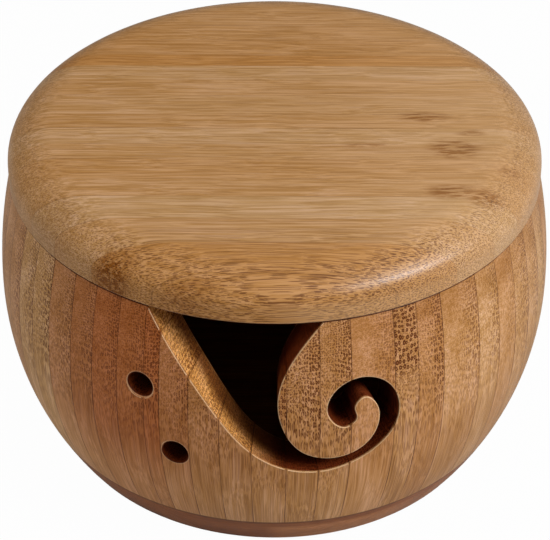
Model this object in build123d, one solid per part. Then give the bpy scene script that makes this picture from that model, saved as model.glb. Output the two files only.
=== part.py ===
from build123d import *
from math import atan2, ceil, degrees, dist, tan
import os

# A turned bamboo yarn bowl with a loose lid, in millimetres and degrees.
#
# Frame: the origin is the middle of the underside, +Z is up, and the yarn slot faces -Y.
# An azimuth is counted from -Y towards +X. Every piece is glue-laminated bamboo:
#   wall_stave_NN  narrow upright staves with radial glue joints, turned to a barrel shape
#   base_board     flat strips glued edge to edge, under the staves
#   lid_board      flat strips glued edge to edge, with a plug that drops into the mouth

# Outside of the bowl: one arc above the belly and one below it, both upright at the belly.
belly_radius = 75.0
belly_height = 49.0
upper_arc_radius = 138.0
lower_arc_radius = 88.0
rim_height = 82.0
foot_round = 2.0
edge_ease = 0.4

# Inside of the bowl. Below the belly the wall keeps its thickness; above it, it thins.
belly_wall = 11.7
inner_upper_arc_radius = 238.0
floor_thickness = 10.0
cove_radius = 8.0

# Base board.
base_thickness = 12.0
base_strip_width = 9.0

# Places on the front are given by their distance round the belly from -Y towards +X.
# Joints between the staves: those at the front are uneven; the rest are evenly spaced.
front_joints = (
    -67.5, -58.4, -50.5, -42.4, -34.4, -30.0, -22.0, -14.0, -5.8,
    3.3, 11.8, 20.0, 31.9, 38.7, 46.6, 59.3, 67.8, 75.9,
)
rear_stave_count = 39

# Yarn slot: a mouth in the rim that narrows to a curled channel and ends in a round eye.
# Points on its edge, as (distance round the belly, drop below the rim).
slot_edge = (
    (-36.6, -3.0), (-28.4, 8.3), (-19.8, 20.2), (-11.8, 31.8), (-5.5, 39.2), (3.4, 44.9),
    (12.0, 46.4), (20.1, 44.7), (27.5, 40.2), (32.2, 33.9), (32.8, 26.6), (29.6, 20.2),
    (23.0, 17.0), (16.8, 18.9), (13.6, 24.6), (15.2, 29.6), (18.6, 31.7), (21.4, 29.2),
    (20.8, 26.0), (23.4, 23.2), (26.6, 25.9), (27.5, 30.4), (25.6, 36.6), (20.6, 40.8),
    (13.8, 41.6), (7.2, 38.6), (2.6, 31.4), (1.0, 22.0), (2.8, 14.4), (6.6, 7.7),
    (12.0, 1.2), (16.2, -3.0),
)

# Needle holes, as (distance round the belly, drop below the rim).
needle_holes = ((-35.3, 23.0), (-26.0, 42.9))
needle_hole_radius = 3.5
hole_ease = 0.4

# Lid.
lid_height = 13.0
lid_overhang = 0.4
lid_shoulder_width = 12.6
lid_shoulder_height = 8.9
lid_edge_arc_radius = 6.5
plug_depth = 5.0
plug_clearance = 0.5

# Strips of the lid: uneven ones from the front, then even ones on to the back.
front_strip_start = -64.7
front_strip_widths = (9.9, 10.2, 9.7, 8.0, 8.9, 7.0, 7.5, 6.8, 9.2, 8.0, 7.2, 5.6)
lid_strip_width = 8.0

# Worked out from the sizes above.
inner_lower_arc_radius = lower_arc_radius - belly_wall
cutter_reach = 1.3 * belly_radius
cutter_start = 0.4 * belly_radius
mouth_flare = 2 * hole_ease


def azimuth_of(distance):
    """The azimuth, in degrees, of a place this far round the belly."""
    return degrees(distance / belly_radius)


def arc_inset(height, arc_radius):
    """How far an arc that is upright at the belly has moved inwards at this height."""
    return arc_radius - (arc_radius**2 - (height - belly_height)**2)**0.5


def outer_radius(height):
    arc_radius = upper_arc_radius if height > belly_height else lower_arc_radius
    return belly_radius - arc_inset(height, arc_radius)


def inner_radius(height):
    arc_radius = inner_upper_arc_radius if height > belly_height else inner_lower_arc_radius
    return belly_radius - belly_wall - arc_inset(height, arc_radius)


def side_arc(radius_at, low, high):
    """A side of the bowl between two heights, both above or both below the belly."""
    return ThreePointArc(*((radius_at(z), z) for z in (low, (low + high) / 2, high)))


def corners(profile, *places):
    """The corners of a profile that lie nearest to the given (radius, height) places."""
    return [profile.vertices().sort_by_distance(Vector(*place))[0] for place in places]


def cavity_profile():
    """Half of the hollow, with a cove where the wall meets the floor and an open top."""
    top = rim_height + plug_depth
    floor_edge = (inner_radius(floor_thickness), floor_thickness)
    mouth_edge = (inner_radius(rim_height), rim_height)
    outline = [
        Line((0, floor_thickness), floor_edge),
        side_arc(inner_radius, floor_thickness, belly_height),
        side_arc(inner_radius, belly_height, rim_height),
        Polyline(mouth_edge, (mouth_edge[0], top), (0, top), (0, floor_thickness)),
    ]
    profile = make_face(outline)
    return fillet(corners(profile, floor_edge), cove_radius)


def wall_profile():
    """Section of the wall: it stands on the base board and has eased edges at the rim."""
    foot = (outer_radius(base_thickness), base_thickness)
    rim = (outer_radius(rim_height), rim_height)
    outline = [
        Line((0, base_thickness), foot),
        side_arc(outer_radius, base_thickness, belly_height),
        side_arc(outer_radius, belly_height, rim_height),
        Polyline(rim, (0, rim_height), (0, base_thickness)),
    ]
    profile = make_face(outline) - cavity_profile()
    return fillet(corners(profile, rim, (inner_radius(rim_height), rim_height)), edge_ease)


def base_profile():
    """Half section of the base board: it carries on the turned side and holds the floor."""
    foot = (outer_radius(0), 0)
    outline = [
        Line((0, 0), foot),
        side_arc(outer_radius, 0, base_thickness),
        Polyline((outer_radius(base_thickness), base_thickness), (0, base_thickness), (0, 0)),
    ]
    profile = make_face(outline) - cavity_profile()
    return fillet(corners(profile, foot), foot_round)


def lid_radius():
    return outer_radius(rim_height) + lid_overhang


def lid_shoulder():
    """The shoulder of the lid: a tight arc off the upright side, then a wide one to the top."""
    top = rim_height + lid_height
    side_height = top - lid_shoulder_height
    flat_edge = lid_radius() - lid_shoulder_width
    edge_centre = Vector(lid_radius() - lid_edge_arc_radius, side_height)
    across = edge_centre.X - flat_edge
    reach = across**2 + lid_shoulder_height**2 - lid_edge_arc_radius**2
    top_arc_radius = reach / (2 * (lid_shoulder_height - lid_edge_arc_radius))
    top_centre = Vector(flat_edge, top - top_arc_radius)
    turn = degrees(atan2(edge_centre.Y - top_centre.Y, across))
    return [
        CenterArc(edge_centre, lid_edge_arc_radius, 0, turn),
        CenterArc(top_centre, top_arc_radius, turn, 90 - turn),
    ]


def lid_profile():
    """Half section of the lid: a plug in the mouth, an upright side and a rounded shoulder."""
    plug_radius = inner_radius(rim_height) - plug_clearance
    plug_edge = (plug_radius, rim_height - plug_depth)
    lower_edge = (lid_radius(), rim_height)
    shoulder = lid_shoulder()
    top = rim_height + lid_height
    outline = [
        Polyline((0, top), (0, plug_edge[1]), plug_edge, (plug_radius, rim_height), lower_edge,
                 shoulder[0] @ 0),
        *shoulder,
        Line(shoulder[-1] @ 1, (0, top)),
    ]
    profile = make_face(outline)
    return chamfer(corners(profile, plug_edge, lower_edge), edge_ease)


def turned(profile, start=0.0, end=360.0):
    """Revolve a profile about the axis of the bowl between two azimuths."""
    return Rot(Z=start - 90) * revolve(Plane.XZ * profile, Axis.Z, end - start)


def slot_cutter():
    """The yarn slot, cut square to the wall: every line across it runs level to the axis."""
    lengths = [0.0]
    for start, end in zip(slot_edge[:-1], slot_edge[1:]):
        lengths.append(lengths[-1] + dist(start, end))
    outlines = []
    for reach in (cutter_reach, cutter_start):
        points = [
            Vector(reach * tan(distance / belly_radius), -reach, rim_height - drop)
            for distance, drop in slot_edge
        ]
        edge = Edge.make_spline(points, parameters=lengths)
        outlines.append(Wire([edge, Line(points[-1], points[0])]))
    return Solid.make_loft(outlines, ruled=True)


def needle_hole_cutter(distance, drop):
    """A level hole that points at the axis, with a cone that eases its outer mouth."""
    height = rim_height - drop
    mouth = outer_radius(height)
    wide = needle_hole_radius + hole_ease + mouth_flare
    outline = Polyline(
        (0, -cutter_start), (needle_hole_radius, -cutter_start),
        (needle_hole_radius, -mouth + hole_ease), (wide, -mouth - mouth_flare),
        (0, -mouth - mouth_flare), (0, -cutter_start),
    )
    drill = revolve(make_face(outline), Axis.Y)
    return Rot(Z=azimuth_of(distance)) * Pos(0, 0, height) * drill


def wedge(start, end):
    """A tall sector of the space round the axis, between two joint azimuths."""
    reach = cutter_reach * 1.5
    edges = [Vector(0, -reach).rotate(Axis.Z, azimuth) for azimuth in (start, end)]
    sector = make_face(Polyline((0, 0), edges[0], edges[1], (0, 0)))
    return extrude(sector, rim_height + lid_height)


def wall_staves():
    """Every stave of the wall, in order round the bowl from the first front joint."""
    joints = [azimuth_of(distance) for distance in front_joints]
    front_wall = turned(wall_profile(), joints[0], joints[-1]) - slot_cutter()
    for hole in needle_holes:
        front_wall -= needle_hole_cutter(*hole)
    staves = [front_wall & wedge(start, end) for start, end in zip(joints[:-1], joints[1:])]
    rear_width = (360 + joints[0] - joints[-1]) / rear_stave_count
    rear_stave = turned(wall_profile(), joints[-1], joints[-1] + rear_width)
    staves += [Rot(Z=index * rear_width) * rear_stave for index in range(rear_stave_count)]
    return staves


def strips(board, bounds):
    """Saw a board into strips that run along X, at the given distances along Y."""
    reach = 2 * belly_radius
    pieces = []
    for low, high in zip(bounds[:-1], bounds[1:]):
        plank = Pos(0, (low + high) / 2, 0) * Box(2 * reach, high - low, 2 * reach)
        pieces += (board & plank).solids()
    return pieces


def even_bounds(radius, width):
    """Joints of evenly wide strips, with one strip on the middle line."""
    count = ceil(radius / width - 0.5)
    return [(index - 0.5) * width for index in range(-count, count + 2)]


def base_board():
    radius = outer_radius(base_thickness)
    return strips(turned(base_profile()), even_bounds(radius, base_strip_width))


def lid_board():
    radius = lid_radius()
    bounds = [front_strip_start]
    while bounds[0] > -radius:
        bounds.insert(0, bounds[0] - lid_strip_width)
    for width in front_strip_widths:
        bounds.append(bounds[-1] + width)
    while bounds[-1] < radius:
        bounds.append(bounds[-1] + lid_strip_width)
    return strips(turned(lid_profile()), bounds)


def write(name, solids):
    shape = solids[0] if len(solids) == 1 else Compound(children=solids)
    shape.label = name
    export_step(shape, f"parts/{name}.step")


os.makedirs("parts", exist_ok=True)
for number, stave in enumerate(wall_staves(), start=1):
    write(f"wall_stave_{number:02d}", stave.solids())
write("base_board", base_board())
write("lid_board", lid_board())
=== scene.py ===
# %% [markdown]
# # A lidded yarn bowl in laminated bamboo
#
# A knitter drops a ball of yarn into this bowl and leads the strand out through the curled
# slot. The bowl is coopered: narrow upright bamboo staves are glued side by side, turned on
# a lathe to a barrel shape, and closed by a flat base board and a loose lid. The shapes are
# already right in the measured model, so this lesson is about finish: how cut bamboo shows
# long streaks on one side of a cut and round dots on the other.

import math
import random

import bmesh
import bpy
from mathutils import Matrix, Vector

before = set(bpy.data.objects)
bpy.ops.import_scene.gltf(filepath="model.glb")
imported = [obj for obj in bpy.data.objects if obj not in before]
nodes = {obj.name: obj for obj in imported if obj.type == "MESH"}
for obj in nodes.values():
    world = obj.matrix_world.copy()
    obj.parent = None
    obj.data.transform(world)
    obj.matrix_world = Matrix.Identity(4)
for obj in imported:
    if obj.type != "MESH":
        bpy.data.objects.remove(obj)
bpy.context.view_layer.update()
scene = bpy.context.scene
print(len(nodes), "measured pieces")

# %% [markdown]
# ## The camera
#
# The bowl is seen from a little above, straight on to the slot. A long lens from two thirds
# of a metre keeps the sides nearly parallel. The camera could be aimed with a constraint,
# but a placed matrix is easier to read and never changes with the other objects.

# %% Camera
CAMERA_DISTANCE = 0.656
CAMERA_ELEVATION = 0.642
CAMERA_ROLL = 0.004
CAMERA_TARGET = Vector((0.0, 0.0, 0.0455))
SENSOR_WIDTH = 36.0
FOCAL_LENGTH = 154.0
LENS_SHIFT = 0.0014
FAR_CLIP = 20.0


def aimed(place, target, roll=0.0):
    """The matrix of a camera or lamp that stands at place and looks at target."""
    turn = (target - place).to_track_quat("-Z", "Y").to_matrix().to_4x4()
    return Matrix.Translation(place) @ turn @ Matrix.Rotation(roll, 4, "Z")


lens = bpy.data.cameras.new("camera")
lens.sensor_width = SENSOR_WIDTH
lens.lens = FOCAL_LENGTH
lens.shift_x = LENS_SHIFT
lens.clip_end = FAR_CLIP
camera = bpy.data.objects.new("camera", lens)
scene.collection.objects.link(camera)
toward_camera = Vector((0.0, -math.cos(CAMERA_ELEVATION), math.sin(CAMERA_ELEVATION)))
camera_place = CAMERA_TARGET + CAMERA_DISTANCE * toward_camera
camera.matrix_world = aimed(camera_place, CAMERA_TARGET, CAMERA_ROLL)
scene.camera = camera
scene.view_settings.view_transform = "Standard"
print("camera at", [round(v, 3) for v in camera_place])

# %% [markdown]
# ## Writing materials as short recipes
#
# A procedural material is a graph of nodes. Placed by hand it is easy to see but hard to
# repeat, so a small helper adds one node per call and gives back its output socket. A socket
# or a plain number can then go into the next call, and a recipe reads like arithmetic.
#
# Most numbers in it are masks from 0 to 1. The product of two masks is where both hold, and
# the larger of the two is where either does.

# %% A helper that writes node graphs


class Recipe:
    """Adds nodes to one node tree. Every call returns an output socket."""

    def __init__(self, tree):
        self.tree = tree

    def feed(self, socket, value):
        """Link a socket to another, or set its value."""
        if isinstance(value, bpy.types.NodeSocket):
            self.tree.links.new(socket, value)
        else:
            socket.default_value = value

    def node(self, kind, inputs, **settings):
        """Add a node, with inputs by name or by number, and return the node."""
        made = self.tree.nodes.new("ShaderNode" + kind)
        for name, value in settings.items():
            setattr(made, name, value)
        for key, value in inputs.items():
            self.feed(made.inputs[key], value)
        return made

    def math(self, operation, *values, clamp=False):
        made = self.node("Math", dict(enumerate(values)), operation=operation, use_clamp=clamp)
        return made.outputs[0]

    def add(self, a, b):
        return self.math("ADD", a, b)

    def less(self, a, b):
        return self.math("SUBTRACT", a, b)

    def times(self, a, b):
        return self.math("MULTIPLY", a, b)

    def either(self, a, b):
        return self.math("MAXIMUM", a, b)

    def all_but(self, mask, share=1.0):
        """1 where the mask is 0, and 1 less this share where it is 1."""
        return self.math("MULTIPLY_ADD", mask, -share, 1.0)

    def vector(self, x=0.0, y=0.0, z=0.0):
        return self.node("CombineXYZ", {"X": x, "Y": y, "Z": z}).outputs[0]

    def length(self, vector):
        return self.node("VectorMath", {0: vector}, operation="LENGTH").outputs["Value"]

    def ease(self, value, low, high, to_low=0.0, to_high=1.0):
        """A soft step: to_low below low, to_high above high."""
        inputs = {"Value": value, 1: low, 2: high, 3: to_low, 4: to_high}
        return self.node("MapRange", inputs, interpolation_type="SMOOTHSTEP").outputs[0]

    def mix(self, factor, a, b, blend="MIX"):
        """A colour that goes from a to b, or from a to a times b, with the factor."""
        made = self.node("Mix", {0: factor, 6: a, 7: b}, data_type="RGBA", blend_type=blend)
        return made.outputs[2]

    def blend(self, factor, a, b):
        """A number that goes from a to b as the factor goes from 0 to 1."""
        return self.node("Mix", {0: factor, 2: a, 3: b}).outputs[0]

    def noise(self, place, detail=2.0, roughness=0.5):
        """(value, colour) of a noise whose value runs from about 0.3 to 0.7."""
        inputs = {"Vector": place, "Scale": 1.0, "Detail": detail, "Roughness": roughness}
        made = self.node("TexNoise", inputs)
        return made.outputs[0], made.outputs[1]


def new_group(name, inputs, outputs):
    """A node group with the given inputs {name: default} and outputs {name: socket type}."""
    tree = bpy.data.node_groups.new(name, "ShaderNodeTree")
    for key, value in inputs.items():
        kind = "NodeSocketColor" if isinstance(value, tuple) else "NodeSocketFloat"
        tree.interface.new_socket(key, in_out="INPUT", socket_type=kind).default_value = value
    for key, kind in outputs.items():
        tree.interface.new_socket(key, in_out="OUTPUT", socket_type=kind)
    entry = tree.nodes.new("NodeGroupInput")
    leave = tree.nodes.new("NodeGroupOutput")
    return Recipe(tree), entry.outputs, leave.inputs


print("recipes ready")

# %% [markdown]
# ## The fibres of bamboo
#
# Bamboo has no growth rings. Its wood is a pale ground full of thin dark bundles that run
# the length of the cane. Cut along them they are streaks, and cut across them they are
# dots with a pale middle. A picture could only show one of the two. A solid pattern shows
# both: a flat Voronoi pattern in the two directions across the fibres, which doesn't change
# along them. A slow wander keeps the streaks from being endless.
#
# A place comes in as millimetres across, into the depth of and along the fibres. Crowd is
# how much of the wood the bundles take up, Size how large they are, Sway how far they
# wander, and Scatter how uneven their rows are.

# %% Fibres that wander
FIBRE_INPUTS = {
    "Across": 0.0, "Depth": 0.0, "Along": 0.0, "Seed": 0.0, "Crowd": 0.5, "Size": 1.0,
    "Sway": 1.0, "Scatter": 0.55,
}
FIBRE_OUTPUTS = ("Bundles", "Specks", "Grain", "Cloud")
SEED_STEP = 37.3
# How fine each noise is, across the fibres and along them.
WANDER_SCALES, GRAIN_SCALES, CLOUD_SCALES = (0.10, 0.035), (1.5, 0.035), (0.16, 0.03)
SWAY_ACROSS, SWAY_DEPTH = 1.6, 4.0

recipe, given, result = new_group(
    "bamboo fibres", FIBRE_INPUTS, {name: "NodeSocketFloat" for name in FIBRE_OUTPUTS},
)
seed_shift = recipe.times(given["Seed"], SEED_STEP)


def stretched(across, depth, scales):
    """A place in a noise that is drawn out along the fibres."""
    across_scale, along_scale = scales
    return recipe.vector(
        recipe.math("MULTIPLY_ADD", across, across_scale, seed_shift),
        recipe.times(depth, across_scale),
        recipe.times(given["Along"], along_scale),
    )


wander = recipe.noise(stretched(given["Across"], given["Depth"], WANDER_SCALES), detail=1.5)[1]
wander_across, wander_depth, _ = recipe.node("SeparateColor", {0: wander}).outputs
sway_across = recipe.times(recipe.add(wander_across, -0.5), SWAY_ACROSS)
sway_depth = recipe.times(
    recipe.add(wander_depth, -0.5), recipe.times(given["Sway"], SWAY_DEPTH),
)
across = recipe.add(given["Across"], sway_across)
depth = recipe.add(given["Depth"], sway_depth)
print("fibres wander by up to", SWAY_DEPTH / 2, "mm")

# %% Bundles, specks, grain and clouds
BUNDLE_SPACING, SPECK_SPACING = 0.86, 0.46
# Half widths as a share of the spacing, and how soft the outlines are.
CROWDED_WIDTH, SPECK_WIDTH, WIDTH_VARIETY = 0.36, 0.24, 0.12
BUNDLE_SOFTNESS, SPECK_SOFTNESS = 0.035, 0.07


def dots(spacing, width, softness):
    """(dots, distance from the middle of the nearest one) of bundles cut across."""
    place = recipe.vector(
        recipe.add(recipe.math("DIVIDE", across, spacing), seed_shift),
        recipe.math("DIVIDE", depth, spacing),
    )
    cells = recipe.node(
        "TexVoronoi", {"Vector": place, "Scale": 1.0, "Randomness": given["Scatter"]},
        voronoi_dimensions="2D",
    ).outputs
    chance = recipe.node("SeparateColor", {0: cells["Color"]}).outputs[0]
    own_width = recipe.math("MULTIPLY_ADD", recipe.add(chance, -0.5), WIDTH_VARIETY, width)
    beyond = recipe.less(cells["Distance"], own_width)
    return recipe.ease(beyond, softness, -softness), cells["Distance"]


bundle_width = recipe.math("MULTIPLY_ADD", given["Crowd"], CROWDED_WIDTH, -0.005)
bundle, from_middle = dots(
    recipe.times(given["Size"], BUNDLE_SPACING), bundle_width, BUNDLE_SOFTNESS,
)
pale_middle = recipe.ease(from_middle, 0.04, 0.22, 0.15, 1.0)
recipe.feed(result["Bundles"], recipe.times(bundle, pale_middle))
recipe.feed(result["Specks"], dots(SPECK_SPACING, SPECK_WIDTH, SPECK_SOFTNESS)[0])
grain = recipe.noise(stretched(across, depth, GRAIN_SCALES), detail=4.0, roughness=0.7)[0]
recipe.feed(result["Grain"], grain)
cloud = recipe.noise(stretched(given["Across"], given["Depth"], CLOUD_SCALES))[0]
recipe.feed(result["Cloud"], cloud)
fibre_group = recipe.tree
print(len(fibre_group.nodes), "nodes make the fibres")

# %% [markdown]
# ## From fibres to lacquered wood
#
# One more group turns the fibres into finished wood. Beyond the fibres' own inputs it takes:
#
# - Ground, the colour between the bundles, Clouds, how uneven it is, and Stain and shade, how
#   far it is darkened brown: real stains on the lid, painted shade on the right staves, and the
#   browner parts of the base.
# - Bold and Fine, how dark the bundles and the small specks are.
# - Joint, the distance to the nearest glue line in millimetres, and Joint shade, how dark
#   that line is.
# - Worn and lit, where the wood is paler: rings round the needle holes that are sanded wood and
#   a painted highlight, and painted light and reflection on the lid. Dark, painted shade deep in
#   the cuts, in the needle holes, at the seams and under the staves.
# - Polish, how much clear coat is on it. None gets into the dark places.

# %% Finished bamboo: the ground, the bundles and the glue lines
# The brown that Stain and shade darkens towards: real stains on the lid, painted shade on the
# staves.
STAIN_AND_SHADE = (0.5, 0.31, 0.04, 1.0)
BUNDLE_SHADE = (0.22, 0.09, 0.012, 1.0)
GLUE_SHADE = (0.18, 0.08, 0.04, 1.0)
GLUE_LINE = (0.05, 0.17)

recipe, given, result = new_group(
    "finished bamboo",
    {"Ground": (0.5, 0.26, 0.11, 1.0), **FIBRE_INPUTS, "Bold": 1.0, "Fine": 0.3,
     "Joint": 9.0, "Joint shade": 0.7, "Dark": 0.0, "Clouds": 1.0, "Worn and lit": 0.0, "Stain and shade": 0.0,
     "Polish": 0.0},
    {"Shader": "NodeSocketShader"},
)
fibre_node = recipe.tree.nodes.new("ShaderNodeGroup")
fibre_node.node_tree = fibre_group
for name in FIBRE_INPUTS:
    recipe.feed(fibre_node.inputs[name], given[name])
fibres = fibre_node.outputs
cloud_shade = recipe.math(
    "MULTIPLY_ADD", recipe.ease(fibres["Cloud"], 0.35, 0.65, -0.14, 0.12), given["Clouds"], 1.0,
)
shade = recipe.times(cloud_shade, recipe.ease(fibres["Grain"], 0.35, 0.65, 0.76, 1.2))
# Darker wood is also redder: the shade acts less on red and more on blue.
warm_shade = recipe.vector(
    recipe.math("POWER", shade, 0.7), shade, recipe.math("POWER", shade, 2.0),
)
ground = recipe.mix(1.0, given["Ground"], warm_shade, "MULTIPLY")
ground = recipe.mix(given["Stain and shade"], ground, STAIN_AND_SHADE, "MULTIPLY")
bundle_share = recipe.math(
    "MAXIMUM",
    recipe.times(fibres["Bundles"], given["Bold"]),
    recipe.times(fibres["Specks"], given["Fine"]),
    clamp=True,
)
wood = recipe.mix(bundle_share, ground, BUNDLE_SHADE, "MULTIPLY")
glue_share = recipe.times(recipe.ease(given["Joint"], *GLUE_LINE, 1.0, 0.0), given["Joint shade"])
wood = recipe.mix(glue_share, wood, GLUE_SHADE, "MULTIPLY")
print("wood coloured")

# %% [markdown]
# The maker breaks the sharp edges with sandpaper, which leaves a thin pale line, and the
# pale line also stands for a painted highlight along the edges. The Bevel node finds those
# edges: it turns the normal near an edge, and how far it differs from the plain normal is the
# mask. Close to a glue line it is left out, because the staves are separate pieces and each
# joint would count as an edge. Then painted shade is laid over the dark places.

# %% Finished bamboo: sanded and highlighted edges, and painted shade
EDGE_RADIUS = 0.0005
SANDED_AND_LIT_WOOD = (0.84, 0.58, 0.34, 1.0)
# The colour of painted shade.
DARK_SHADE = (0.18, 0.07, 0.04, 1.0)

plain_normal = recipe.node("NewGeometry", {}).outputs["Normal"]
bevel_normal = recipe.node("Bevel", {"Radius": EDGE_RADIUS}, samples=6).outputs[0]
eased_normal = recipe.node(
    "Mix", {0: recipe.ease(given["Joint"], 0.4, 0.5), 4: plain_normal, 5: bevel_normal},
    data_type="VECTOR",
).outputs[1]
likeness = recipe.node(
    "VectorMath", {0: plain_normal, 1: eased_normal}, operation="DOT_PRODUCT",
).outputs["Value"]
open_face = recipe.all_but(given["Dark"])
# The pale edge line: sanded wear and a painted highlight.
edge_wear_and_highlight = recipe.times(recipe.ease(likeness, 0.995, 0.93), open_face)
wood = recipe.mix(recipe.either(edge_wear_and_highlight, given["Worn and lit"]), wood, SANDED_AND_LIT_WOOD)
# Painted shade where Dark says so: deep in cuts, in holes and at the seams.
wood = recipe.mix(given["Dark"], wood, DARK_SHADE, "MULTIPLY")
print("edges sanded")

# %% Finished bamboo: lacquer
LACQUER_ROUGHNESS, GRAIN_ROUGHNESS = 0.32, 0.12
LACQUER_SPECULAR = 0.12
COAT_ROUGHNESS = 0.34
RELIEF_DEPTH = 0.0002

relief = recipe.add(recipe.times(fibres["Bundles"], -0.6), recipe.times(fibres["Grain"], 0.8))
bump = recipe.node(
    "Bump",
    {"Strength": 0.3, "Distance": RELIEF_DEPTH, "Height": relief, "Normal": eased_normal},
).outputs[0]
lacquer = recipe.node("BsdfPrincipled", {
    "Base Color": wood,
    "Roughness": recipe.math(
        "MULTIPLY_ADD", fibres["Grain"], GRAIN_ROUGHNESS, LACQUER_ROUGHNESS,
    ),
    "Normal": bump,
    "Specular IOR Level": LACQUER_SPECULAR,
    "Coat Roughness": COAT_ROUGHNESS,
    "Coat Weight": recipe.times(given["Polish"], open_face),
})
recipe.feed(result["Shader"], lacquer.outputs[0])
finish_group = recipe.tree
print(len(finish_group.nodes), "nodes finish the wood")

# %% A material from a pattern
MM = 1000.0


def bamboo(name, build):
    """A material of finished bamboo. build(recipe, x, y, z) gives the pattern's inputs."""
    material = bpy.data.materials.new(name)
    material.use_nodes = True
    material.node_tree.nodes.clear()
    recipe = Recipe(material.node_tree)
    place = recipe.node("TexCoord", {}).outputs["Object"]
    in_mm = recipe.node("VectorMath", {0: place, "Scale": MM}, operation="SCALE").outputs[0]
    x, y, z = recipe.node("SeparateXYZ", {0: in_mm}).outputs
    finish = material.node_tree.nodes.new("ShaderNodeGroup")
    finish.node_tree = finish_group
    for key, value in build(recipe, x, y, z).items():
        recipe.feed(finish.inputs[key], value)
    out = material.node_tree.nodes.new("ShaderNodeOutputMaterial")
    recipe.feed(out.inputs["Surface"], finish.outputs["Shader"])
    return material


print("materials are patterns in millimetres")

# %% [markdown]
# ## Staves
#
# Each stave is a narrow strip of cane with its own tone. On its right edge, the outside of
# the cane, the bundles crowd together. The fibres of the staves follow the lower half of
# the barrel, so there they show as long streaks, and the lathe cuts them more and more
# squarely towards the rim, where they end as round dots.
#
# The pattern is worked out in the stave's own frame: the angle from its middle, the depth
# below the turned surface, and the height. The turned surface is known from the same arcs
# that shaped the bowl, so no depth has to be measured on the mesh.

# %% A place in the barrel
BELLY_RADIUS = 75.0
BELLY_HEIGHT = 49.0
RIM_HEIGHT = 82.0
UPPER_ARC_RADIUS = 138.0
LOWER_ARC_RADIUS = 88.0
BASE_THICKNESS = 12.0
BELLY_WALL = 11.7
RIM_THINNING = 0.0016


def place_in_barrel(recipe, middle, x, y, z):
    """(angle from this middle, radius, depth below the surface, thickness of the wall)."""
    turned = recipe.node(
        "VectorRotate", {"Vector": recipe.vector(x, y, 0.0), "Angle": -middle},
        rotation_type="Z_AXIS",
    ).outputs[0]
    side, front, _ = recipe.node("SeparateXYZ", {0: turned}).outputs
    angle = recipe.math("ARCTAN2", side, recipe.times(front, -1.0))
    radius = recipe.length(turned)
    above = recipe.add(z, -BELLY_HEIGHT)
    above_squared = recipe.times(above, above)
    upper = recipe.math("GREATER_THAN", above, 0.0)
    arc = recipe.blend(upper, LOWER_ARC_RADIUS, UPPER_ARC_RADIUS)
    upright = recipe.less(recipe.times(arc, arc), above_squared)
    inset = recipe.less(arc, recipe.math("SQRT", upright))
    below_surface = recipe.less(BELLY_RADIUS, recipe.add(radius, inset))
    thickness = recipe.math(
        "MULTIPLY_ADD", above_squared, recipe.times(upper, -RIM_THINNING), BELLY_WALL,
    )
    return angle, radius, below_surface, thickness


print("rim above the belly:", RIM_HEIGHT - BELLY_HEIGHT, "mm")

# %% [markdown]
# The saw scorches the walls of the slot, most where it turns inside the curl, where the dark
# also stands for a painted shadow of the curl. Painted shade darkens the walls towards the
# inside of the bowl and lower down, and the rim's top where the lid sits. Each needle hole gets
# painted shade on its wall and lip, with a thin pale ring round it that is partly sanded wood
# and partly a painted highlight. All of these could be drawn in an image, but a mask of the
# depth below the surface and of the distance from a hole follows the cuts at any angle.

# %% Cuts in the staves
HOLE_RADIUS = 3.5
# Angle and height of each hole.
NEEDLE_HOLES = ((-35.3 / BELLY_RADIUS, 59.0), (-26.0 / BELLY_RADIUS, 39.1))


def painted_cut_shade(recipe, z, below_surface, thickness):
    """Painted shade deep in the slot's walls and lower down, and on the rim where the lid sits.
    """
    inner_face = recipe.ease(recipe.less(thickness, below_surface), 0.25, 0.1)
    gloom = recipe.add(below_surface, recipe.ease(z, 64.0, 52.0, 0.0, 1.6))
    below_rim = recipe.ease(z, RIM_HEIGHT - 0.05, RIM_HEIGHT - 0.4)
    # Painted shade: darker deeper in the slot and lower down, less on the inner face of the wall.
    inside = recipe.times(
        recipe.times(recipe.ease(gloom, 3.8, 9.0, 0.0, 0.8), below_rim),
        recipe.all_but(inner_face, 0.4),
    )
    # Painted shade on the rim's top, in the gap where the lid sits.
    rim = recipe.times(
        recipe.ease(z, RIM_HEIGHT - 0.45, RIM_HEIGHT - 0.15, 0.0, 0.9),
        recipe.ease(below_surface, 1.2, 0.6),
    )
    return recipe.either(inside, rim)


def hole_marks(recipe, angle, radius, middle, z):
    """(painted shade inside, pale ring of sanded wood and painted highlight) of the needle holes.
    """
    painted_hole_shade, sanded_and_lit_ring = 0.0, 0.0
    for hole_angle, hole_height in NEEDLE_HOLES:
        off_side = recipe.times(recipe.add(angle, middle - hole_angle), radius)
        away = recipe.length(recipe.vector(off_side, recipe.add(z, -hole_height)))
        # Painted shade on the hole's wall and lip.
        lip = recipe.ease(away, HOLE_RADIUS + 0.32, HOLE_RADIUS + 0.18)
        # A pale ring, partly sanded wood and partly a painted highlight on the hole's edge.
        ring = recipe.times(
            recipe.ease(away, HOLE_RADIUS + 0.1, HOLE_RADIUS + 0.25),
            recipe.ease(away, HOLE_RADIUS + 0.55, HOLE_RADIUS + 0.35, 0.0, 0.25),
        )
        painted_hole_shade = recipe.either(painted_hole_shade, lip)
        sanded_and_lit_ring = recipe.either(sanded_and_lit_ring, ring)
    return painted_hole_shade, sanded_and_lit_ring


print(len(NEEDLE_HOLES), "needle holes marked")

# %% The pattern of a stave
PALE_FOOT = (0.67, 0.36, 0.142, 1.0)
CUT_WOOD = (0.73, 0.36, 0.11, 1.0)
# Scorched wood in the curl of the slot, darkened further as a painted shadow of the curl.
CHARRED_AND_SHADED_WOOD = (0.17, 0.034, 0.009, 1.0)
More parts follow.
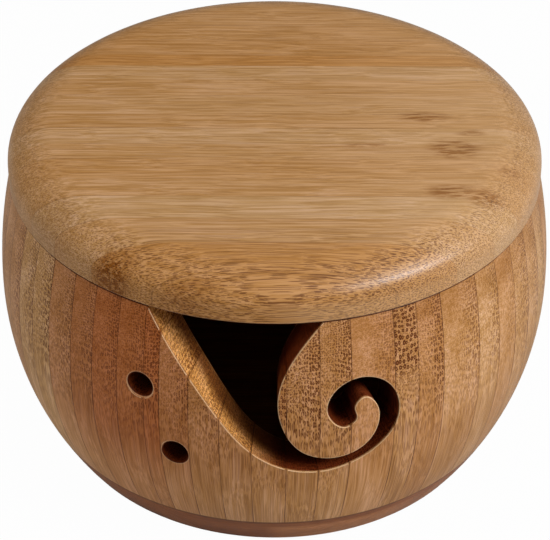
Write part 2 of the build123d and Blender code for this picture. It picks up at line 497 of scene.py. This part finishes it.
# Fibres run straight up to STREAK_TOP, and lean outwards by MOST_LEAN at the rim.
STREAK_TOP, LEAN_HEIGHT, MOST_LEAN, LEAN_POWER = 28.0, 54.0, 18.0, 3.2
# What a cut across the fibres shows.
CUT_SIZE, CUT_CROWD, CUT_BOLD, CUT_FINE = 0.78, 0.75, 1.3, 0.8
# Distances round the belly from the middle of the front, where a look comes and where it goes.
CHARRED_AND_SHADED_COMES, CHARRED_AND_SHADED_GOES = (-12.0, 4.0), (60.0, 45.0)
RIGHT_COMES, RIGHT_GOES = (20.0, 50.0), (150.0, 100.0)


def fibre_lean(recipe, z):
    """How far the lathe has cut into the fibres at this height."""
    rise = recipe.either(recipe.add(z, -STREAK_TOP), 0.0)
    climb = recipe.math("POWER", recipe.times(rise, 1 / LEAN_HEIGHT), LEAN_POWER)
    return recipe.math("MULTIPLY_ADD", z, 0.04, recipe.times(climb, MOST_LEAN))


def stave_pattern(middle, half_width, seed, tone, boldness, crowd_left, size, bold_span):
    """Pattern inputs of a stave whose middle is at this angle from -Y towards +X."""

    def build(recipe, x, y, z):
        angle, radius, below_surface, thickness = place_in_barrel(recipe, middle, x, y, z)
        across = recipe.times(angle, BELLY_RADIUS)
        side_joint = recipe.times(
            recipe.less(half_width, recipe.math("ABSOLUTE", angle)), BELLY_RADIUS,
        )
        joint = recipe.math("MINIMUM", side_joint, recipe.add(z, -BASE_THICKNESS))
        glue = recipe.noise(recipe.vector(seed * 7.0, 0.0, recipe.times(z, 0.05)), detail=1.0)[0]

        round_belly = recipe.add(across, middle * BELLY_RADIUS)
        charred_and_shaded = recipe.times(
            recipe.ease(round_belly, *CHARRED_AND_SHADED_COMES), recipe.ease(round_belly, *CHARRED_AND_SHADED_GOES),
        )
        right = recipe.times(
            recipe.ease(round_belly, *RIGHT_COMES), recipe.ease(round_belly, *RIGHT_GOES),
        )
        # Painted shade on the right staves: lower down, and close under the lid.
        painted_shade_heights = recipe.either(
            recipe.ease(z, 52.0, 34.0, 0.0, 0.22), recipe.ease(z, 68.0, 80.0, 0.0, 0.36),
        )
        foot = recipe.times(recipe.ease(z, 46.0, 18.0, 0.0, 0.5), recipe.all_but(right, 0.9))

        cut = recipe.ease(below_surface, 0.3, 0.8)
        painted_hole_shade, sanded_and_lit_ring = hole_marks(recipe, angle, radius, middle, z)
        crowd = recipe.ease(
            recipe.math("DIVIDE", angle, half_width), -0.7, 0.9, crowd_left, 0.95,
        )
        bold = recipe.times(recipe.ease(z, *bold_span, 0.3, 1.35), boldness)
        fine = recipe.times(recipe.ease(z, 20.0, 55.0, 0.3, 0.75), boldness)
        return {
            "Ground": recipe.mix(
                cut, recipe.mix(foot, tone, PALE_FOOT),
                recipe.mix(charred_and_shaded, CUT_WOOD, CHARRED_AND_SHADED_WOOD),
            ),
            "Across": across, "Depth": recipe.less(fibre_lean(recipe, z), below_surface),
            "Along": z, "Seed": seed,
            "Size": recipe.blend(cut, size, CUT_SIZE),
            "Crowd": recipe.either(crowd, recipe.times(cut, CUT_CROWD)),
            "Bold": recipe.either(bold, recipe.times(cut, CUT_BOLD)),
            "Fine": recipe.either(fine, recipe.times(cut, CUT_FINE)),
            "Joint": joint, "Joint shade": recipe.ease(glue, 0.4, 0.6, 0.45, 1.0),
            "Dark": recipe.either(painted_cut_shade(recipe, z, below_surface, thickness), painted_hole_shade),
            "Worn and lit": sanded_and_lit_ring, "Stain and shade": recipe.times(right, painted_shade_heights),
        }

    return build


print("fibres lean out by", MOST_LEAN, "mm")

# %% [markdown]
# The staves at the front are chosen one by one, as a cooper would, with the red brown ones on
# the left and one of very large bundles right of the slot. Those at the sides and the back
# are drawn at random from a seeded generator, so that they come out the same each time.

# %% Finish the staves
# Of each front stave: its tone, from 0 pale tan to 1 red brown, how bold its bundles are, how
# crowded they are on its left and how large they are.
FRONT_STAVES = (
    (0.65, 0.65, 0.5, 0.75), (0.85, 0.65, 0.5, 0.75), (1.00, 0.65, 0.5, 0.75),
    (1.00, 0.60, 0.5, 0.80), (1.05, 0.70, 0.8, 0.85), (0.80, 0.65, 0.5, 0.80),
    (0.65, 0.75, 0.5, 0.80), (0.60, 0.85, 0.6, 0.90), (0.57, 1.05, 0.5, 0.86),
    (0.50, 1.05, 0.7, 0.84), (0.48, 1.05, 0.5, 0.80), (0.55, 0.55, 0.4, 0.80),
    (0.40, 1.10, 1.0, 1.32), (0.49, 0.80, 0.5, 0.90), (0.36, 0.60, 0.2, 0.90),
    (0.26, 0.55, 0.3, 0.95), (0.38, 0.35, 0.4, 0.85),
)
LARGE_BUNDLE_STAVE = 12
# The heights between which the bundles grow bold.
BOLD_SPAN, LARGE_BOLD_SPAN = (32.0, 65.0), (60.0, 68.0)
PALE = Vector((0.585, 0.350, 0.151))
RED_BROWN = Vector((0.42, 0.138, 0.038))


def azimuth_of(point):
    return math.atan2(point.x, -point.y)


def stave_span(stave):
    """(middle, half width) of a stave, as angles round the axis."""
    corners = [v.co for v in stave.data.vertices]
    centre = sum(corners, Vector()) / len(corners)
    middle = azimuth_of(centre)
    turn = Matrix.Rotation(-middle, 3, "Z")
    angles = [azimuth_of(turn @ corner) for corner in corners]
    return middle + (max(angles) + min(angles)) / 2, (max(angles) - min(angles)) / 2


draw = random.Random(11)
stave_names = sorted(name for name in nodes if name.startswith("wall_stave"))
for number, name in enumerate(stave_names):
    if number < len(FRONT_STAVES):
        tone, boldness, crowd_left, size = FRONT_STAVES[number]
    else:
        tone, boldness, crowd_left, size = (
            draw.uniform(0.1, 0.5), draw.uniform(0.4, 0.8), 0.5, draw.uniform(0.8, 1.0),
        )
    middle, half_width = stave_span(nodes[name])
    pattern = stave_pattern(
        middle, half_width, number + 1.0, (*PALE.lerp(RED_BROWN, tone), 1.0), boldness,
        crowd_left, size, LARGE_BOLD_SPAN if number == LARGE_BUNDLE_STAVE else BOLD_SPAN,
    )
    nodes[name].material_slots[0].material = bamboo(name + " bamboo", pattern)
print(len(stave_names), "staves finished")

# %% [markdown]
# ## Lid and base
#
# Both boards are glued from flat strips that run left to right. The pattern is the same
# bamboo with the fibres along X. A strip's tone is a sum of steps, one at each joint, which
# keeps the joints sharp. A colour ramp would be shorter, but it is stored as 256 samples
# and would move them.

# %% The pattern of a board
BEND = 2.0


def strip_steps(recipe, y, joints, values):
    """A value that changes from one strip to the next at the joints."""
    total = values[0]
    for joint, before, after in zip(joints, values[:-1], values[1:]):
        step = recipe.math("GREATER_THAN", y, joint)
        total = recipe.math("MULTIPLY_ADD", step, after - before, total)
    return total


def nearest_joint(recipe, y, joints):
    """The distance from y to the nearest joint."""
    nearest = 99.0
    for joint in joints:
        gap = recipe.math("ABSOLUTE", recipe.less(y, joint))
        nearest = recipe.math("MINIMUM", gap, nearest)
    return nearest


def board_pattern(joints, tones, pale, dark, seed, fibre_inputs, more):
    """Pattern inputs of a board of strips along X. more(recipe, x, y, z) adds to them."""

    def build(recipe, x, y, z):
        tone = strip_steps(recipe, y, joints, tones)
        number = strip_steps(recipe, y, joints, [seed + i for i in range(len(tones))])
        bend = recipe.noise(recipe.vector(recipe.times(x, 0.012), number, seed), detail=1.0)[0]
        glue = recipe.noise(recipe.vector(recipe.times(x, 0.03), recipe.times(y, 0.1), seed))[0]
        pattern = {
            "Ground": recipe.mix(tone, (*pale, 1.0), (*dark, 1.0)),
            "Across": recipe.math("MULTIPLY_ADD", bend, BEND, y), "Depth": z,
            "Along": x, "Seed": number,
            "Joint": nearest_joint(recipe, y, joints),
            "Joint shade": recipe.ease(glue, 0.45, 0.65, 0.05, 0.36),
        }
        return {**pattern, **fibre_inputs, **more(recipe, x, y, z)}

    return build


print("strips run along X")

# %% [markdown]
# The cane has a ring where each leaf grew, and rings that fall in the lid leave small dark
# patches. Round the shoulder and at the front the turning has cut across the fibres, so
# there the bundles show as short dashes. The clear coat is thicker towards the right and
# thins out below the shoulder, where it was rubbed down. The lid is painted paler towards its
# lit right side, with a painted pale reflection low on its front edge, and a thin line of
# painted shade where the lid meets the bowl, fading towards the right.

# %% Lid
LID_TOP = 95.0
LID_JOINTS = (
    -64.7, -54.8, -44.6, -34.9, -26.9, -18.0, -11.0, -3.5, 3.3, 12.5, 20.5, 27.7, 33.3,
    41.3, 49.3, 57.3, 65.3,
)
# From the front strip to the back one: 0 pale, 1 dark.
LID_TONES = (
    0.62, 0.62, 0.28, 0.03, 0.32, 0.42, 0.30, 0.14, 0.36, 0.27, 0.36, 0.17, 0.75, 0.54,
    0.47, 0.42, 0.40, 0.35,
)
LID_PALE, LID_DARK = (0.52, 0.310, 0.147), (0.43, 0.178, 0.028)
LID_FIBRES = {"Crowd": 0.65, "Size": 0.42, "Sway": 0.8, "Scatter": 0.9, "Clouds": 0.4}
# Where rings of the cane run through the lid: middle x and y, half length and half width, and
# how dark they are.
CANE_MARKS = (
    (39.6, 2.2, 6.5, 2.4, 1.1), (46.9, -13.0, 7.0, 4.6, 1.3), (51.8, -5.6, 4.0, 1.8, 0.8),
    (45.6, -32.5, 7.0, 3.2, 1.2), (53.4, -34.0, 5.5, 3.4, 1.1), (24.3, -11.5, 7.0, 1.4, 0.6),
    (61.0, -22.0, 4.0, 2.0, 0.6), (-42.5, -59.0, 7.5, 4.5, 1.2), (-24.0, -68.0, 9.0, 3.0, 0.6),
    (-58.0, -42.0, 9.0, 9.0, 0.4),
)


def cane_rings(recipe, x, y, z):
    """Dark patches with streaky outlines."""
    total = 0.0
    for middle_x, middle_y, long, wide, depth in CANE_MARKS:
        off_x = recipe.times(recipe.add(x, -middle_x), 1 / long)
        off_y = recipe.times(recipe.add(y, -middle_y), 1 / wide)
        away = recipe.length(recipe.vector(off_x, off_y))
        total = recipe.either(total, recipe.ease(away, 1.4, 0.3, 0.0, depth))
    streaks = recipe.noise(
        recipe.vector(recipe.times(x, 0.18), recipe.times(y, 1.2), recipe.times(z, 1.2)),
        detail=3.0, roughness=0.65,
    )[0]
    return recipe.times(total, recipe.ease(streaks, 0.40, 0.58, 0.15, 1.0))


def lid_looks(recipe, x, y, z):
    """What the lid adds to its strips."""
    shoulder = recipe.times(
        recipe.ease(z, LID_TOP - 0.1, LID_TOP - 1.5), recipe.ease(x, 0.0, 40.0, 0.3, 0.55),
    )
    front = recipe.ease(y, -42.0, -60.0, 0.2, 0.46)
    dashes = recipe.add(shoulder, front)
    # Painted shade in the seam where the lid meets the bowl, fading towards the right.
    painted_seam_shade = recipe.times(
        recipe.ease(z, RIM_HEIGHT + 0.02, RIM_HEIGHT + 0.06),
        recipe.ease(z, RIM_HEIGHT + 0.6, RIM_HEIGHT + 0.35),
    )
    # Painted reflection: a pale band low on the lid's front edge, towards the right.
    lower_edge_painted_light = recipe.times(recipe.ease(z, 89.0, 85.0), recipe.ease(y, -30.0, -50.0))
    return {
        "Bold": dashes, "Fine": dashes, "Stain and shade": cane_rings(recipe, x, y, z),
        # Painted light: paler towards the lit right side, and the painted reflection on the lower
        # edge.
        "Worn and lit": recipe.either(
            recipe.ease(x, 5.0, 60.0, 0.0, 0.12),
            recipe.times(lower_edge_painted_light, recipe.ease(x, -5.0, 12.0, 0.0, 0.17)),
        ),
        "Dark": recipe.times(painted_seam_shade, recipe.ease(x, 15.0, 50.0, 1.0, 0.4)),
        "Polish": recipe.times(
            recipe.ease(x, -60.0, 10.0, 0.2, 0.7), recipe.ease(z, 86.0, 91.0, 0.25, 1.0),
        ),
    }


lid_pattern = board_pattern(
    LID_JOINTS, LID_TONES, LID_PALE, LID_DARK, 3.0, LID_FIBRES, lid_looks,
)
nodes["lid_board"].material_slots[0].material = bamboo("lid bamboo", lid_pattern)
print(len(LID_TONES), "strips in the lid")

# %% Base
BASE_STRIP = 9.0
BASE_JOINTS = [(i - 6.5) * BASE_STRIP for i in range(14)]
BASE_TONES = [draw.uniform(0.1, 0.9) for i in range(15)]
BASE_PALE, BASE_DARK = (0.50, 0.20, 0.06), (0.40, 0.14, 0.035)
BASE_FIBRES = {"Crowd": 0.5, "Sway": 0.6, "Bold": 0.3, "Fine": 0.2, "Joint shade": 0.2}
# How much browner the base is, except low down from the middle towards the right.
BASE_BROWN = 0.75


def base_looks(recipe, x, y, z):
    """The base is browner except low down from the middle rightwards, with painted shade under
    the staves.
    """
    middle = recipe.times(recipe.ease(x, -3.0, 3.0), recipe.ease(x, 45.0, 25.0, 0.2, 1.0))
    paler_low_middle = recipe.times(middle, recipe.ease(z, 9.8, 8.2))
    return {
        "Stain and shade": recipe.math("MULTIPLY_ADD", paler_low_middle, -BASE_BROWN, BASE_BROWN),
        # Painted shade close under the staves.
        "Dark": recipe.ease(z, BASE_THICKNESS - 1.2, BASE_THICKNESS - 0.3, 0.0, 0.5),
    }


base_pattern = board_pattern(
    BASE_JOINTS, BASE_TONES, BASE_PALE, BASE_DARK, 40.0, BASE_FIBRES, base_looks,
)
nodes["base_board"].material_slots[0].material = bamboo("base bamboo", base_pattern)
print(len(BASE_TONES), "strips in the base")

# %% [markdown]
# ## Floor, background and light
#
# A plain white floor under soft lamps. Two soft key lamps stand close together at the right
# and draw the bright line on the lid's rounded edge. Two weak, wide ones fill the left and
# the top, and are kept out of the gloss so that they draw no line of their own. To make the
# background pure white the floor and the world answer camera rays with a white glow, so no
# lamp has to be turned up for it.

# %% Floor
FLOOR_SIZE = 3.0
WHITE = (1.0, 1.0, 1.0, 1.0)
FLOOR_PAINT = (0.5, 0.5, 0.5, 1.0)
# What the camera sees of the floor is nearly all glow. The rest is paint, which takes shadow.
GLOW_SHARE = 0.98
MIRRORED_SHARE = 0.12

floor_mesh = bpy.data.meshes.new("floor")
grid = bmesh.new()
bmesh.ops.create_grid(grid, x_segments=1, y_segments=1, size=FLOOR_SIZE)
grid.to_mesh(floor_mesh)
grid.free()
floor = bpy.data.objects.new("floor", floor_mesh)
scene.collection.objects.link(floor)


def seen_directly(recipe):
    """1 for camera and see-through rays, less for gloss, 0 for rays that light the object."""
    path = recipe.node("LightPath", {}).outputs
    mirrored = recipe.times(path["Is Glossy Ray"], MIRRORED_SHARE)
    seen = recipe.either(path["Is Camera Ray"], mirrored)
    return recipe.either(seen, path["Is Transmission Ray"])


floor_material = bpy.data.materials.new("white floor")
floor_material.use_nodes = True
floor_material.node_tree.nodes.clear()
recipe = Recipe(floor_material.node_tree)
paint = recipe.node("BsdfDiffuse", {"Color": FLOOR_PAINT}).outputs[0]
glow = recipe.node("Emission", {"Color": WHITE, "Strength": 1.0}).outputs[0]
share = recipe.times(seen_directly(recipe), GLOW_SHARE)
surface = recipe.node("MixShader", {0: share, 1: paint, 2: glow}).outputs[0]
out = floor_material.node_tree.nodes.new("ShaderNodeOutputMaterial")
recipe.feed(out.inputs["Surface"], surface)
floor_mesh.materials.append(floor_material)
print("floor", 2 * FLOOR_SIZE, "m wide")

# %% World
ROOM_LIGHT = 0.27
ROOM_COLOUR = (1.0, 0.92, 0.82, 1.0)

world = bpy.data.worlds.new("studio")
scene.world = world
world.use_nodes = True
world.node_tree.nodes.clear()
recipe = Recipe(world.node_tree)
gloss_ray = recipe.node("LightPath", {}).outputs["Is Glossy Ray"]
room = recipe.math("MULTIPLY_ADD", gloss_ray, -ROOM_LIGHT, ROOM_LIGHT)
seen = seen_directly(recipe)
sky = recipe.node("Background", {
    "Color": recipe.mix(seen, ROOM_COLOUR, WHITE), "Strength": recipe.either(seen, room),
})
out = world.node_tree.nodes.new("ShaderNodeOutputWorld")
recipe.feed(out.inputs["Surface"], sky.outputs[0])
print("room light", ROOM_LIGHT)

# %% Lamps


def soft_lamp(name, azimuth_deg, elevation_deg, distance, width, height, watts, mirrored=True):
    """A rectangular softbox aimed at the middle of the bowl, seen in the gloss or not."""
    azimuth, elevation = math.radians(azimuth_deg), math.radians(elevation_deg)
    away = Vector((
        math.sin(azimuth) * math.cos(elevation), -math.cos(azimuth) * math.cos(elevation),
        math.sin(elevation),
    ))
    lamp = bpy.data.lights.new(name, "AREA")
    lamp.shape = "RECTANGLE"
    lamp.size = width
    lamp.size_y = height
    lamp.energy = watts
    made = bpy.data.objects.new(name, lamp)
    scene.collection.objects.link(made)
    made.matrix_world = aimed(CAMERA_TARGET + distance * away, CAMERA_TARGET)
    made.visible_glossy = mirrored


soft_lamp("key lamp", 64, 38, 0.75, 0.20, 0.24, 2.6)
soft_lamp("second key lamp", 46, 40, 0.75, 0.20, 0.20, 1.9)
soft_lamp("left fill", -85, 25, 1.5, 0.9, 0.9, 6.5, mirrored=False)
soft_lamp("top fill", 0, 88, 1.5, 1.2, 1.2, 3.2, mirrored=False)
print("lamps ready")
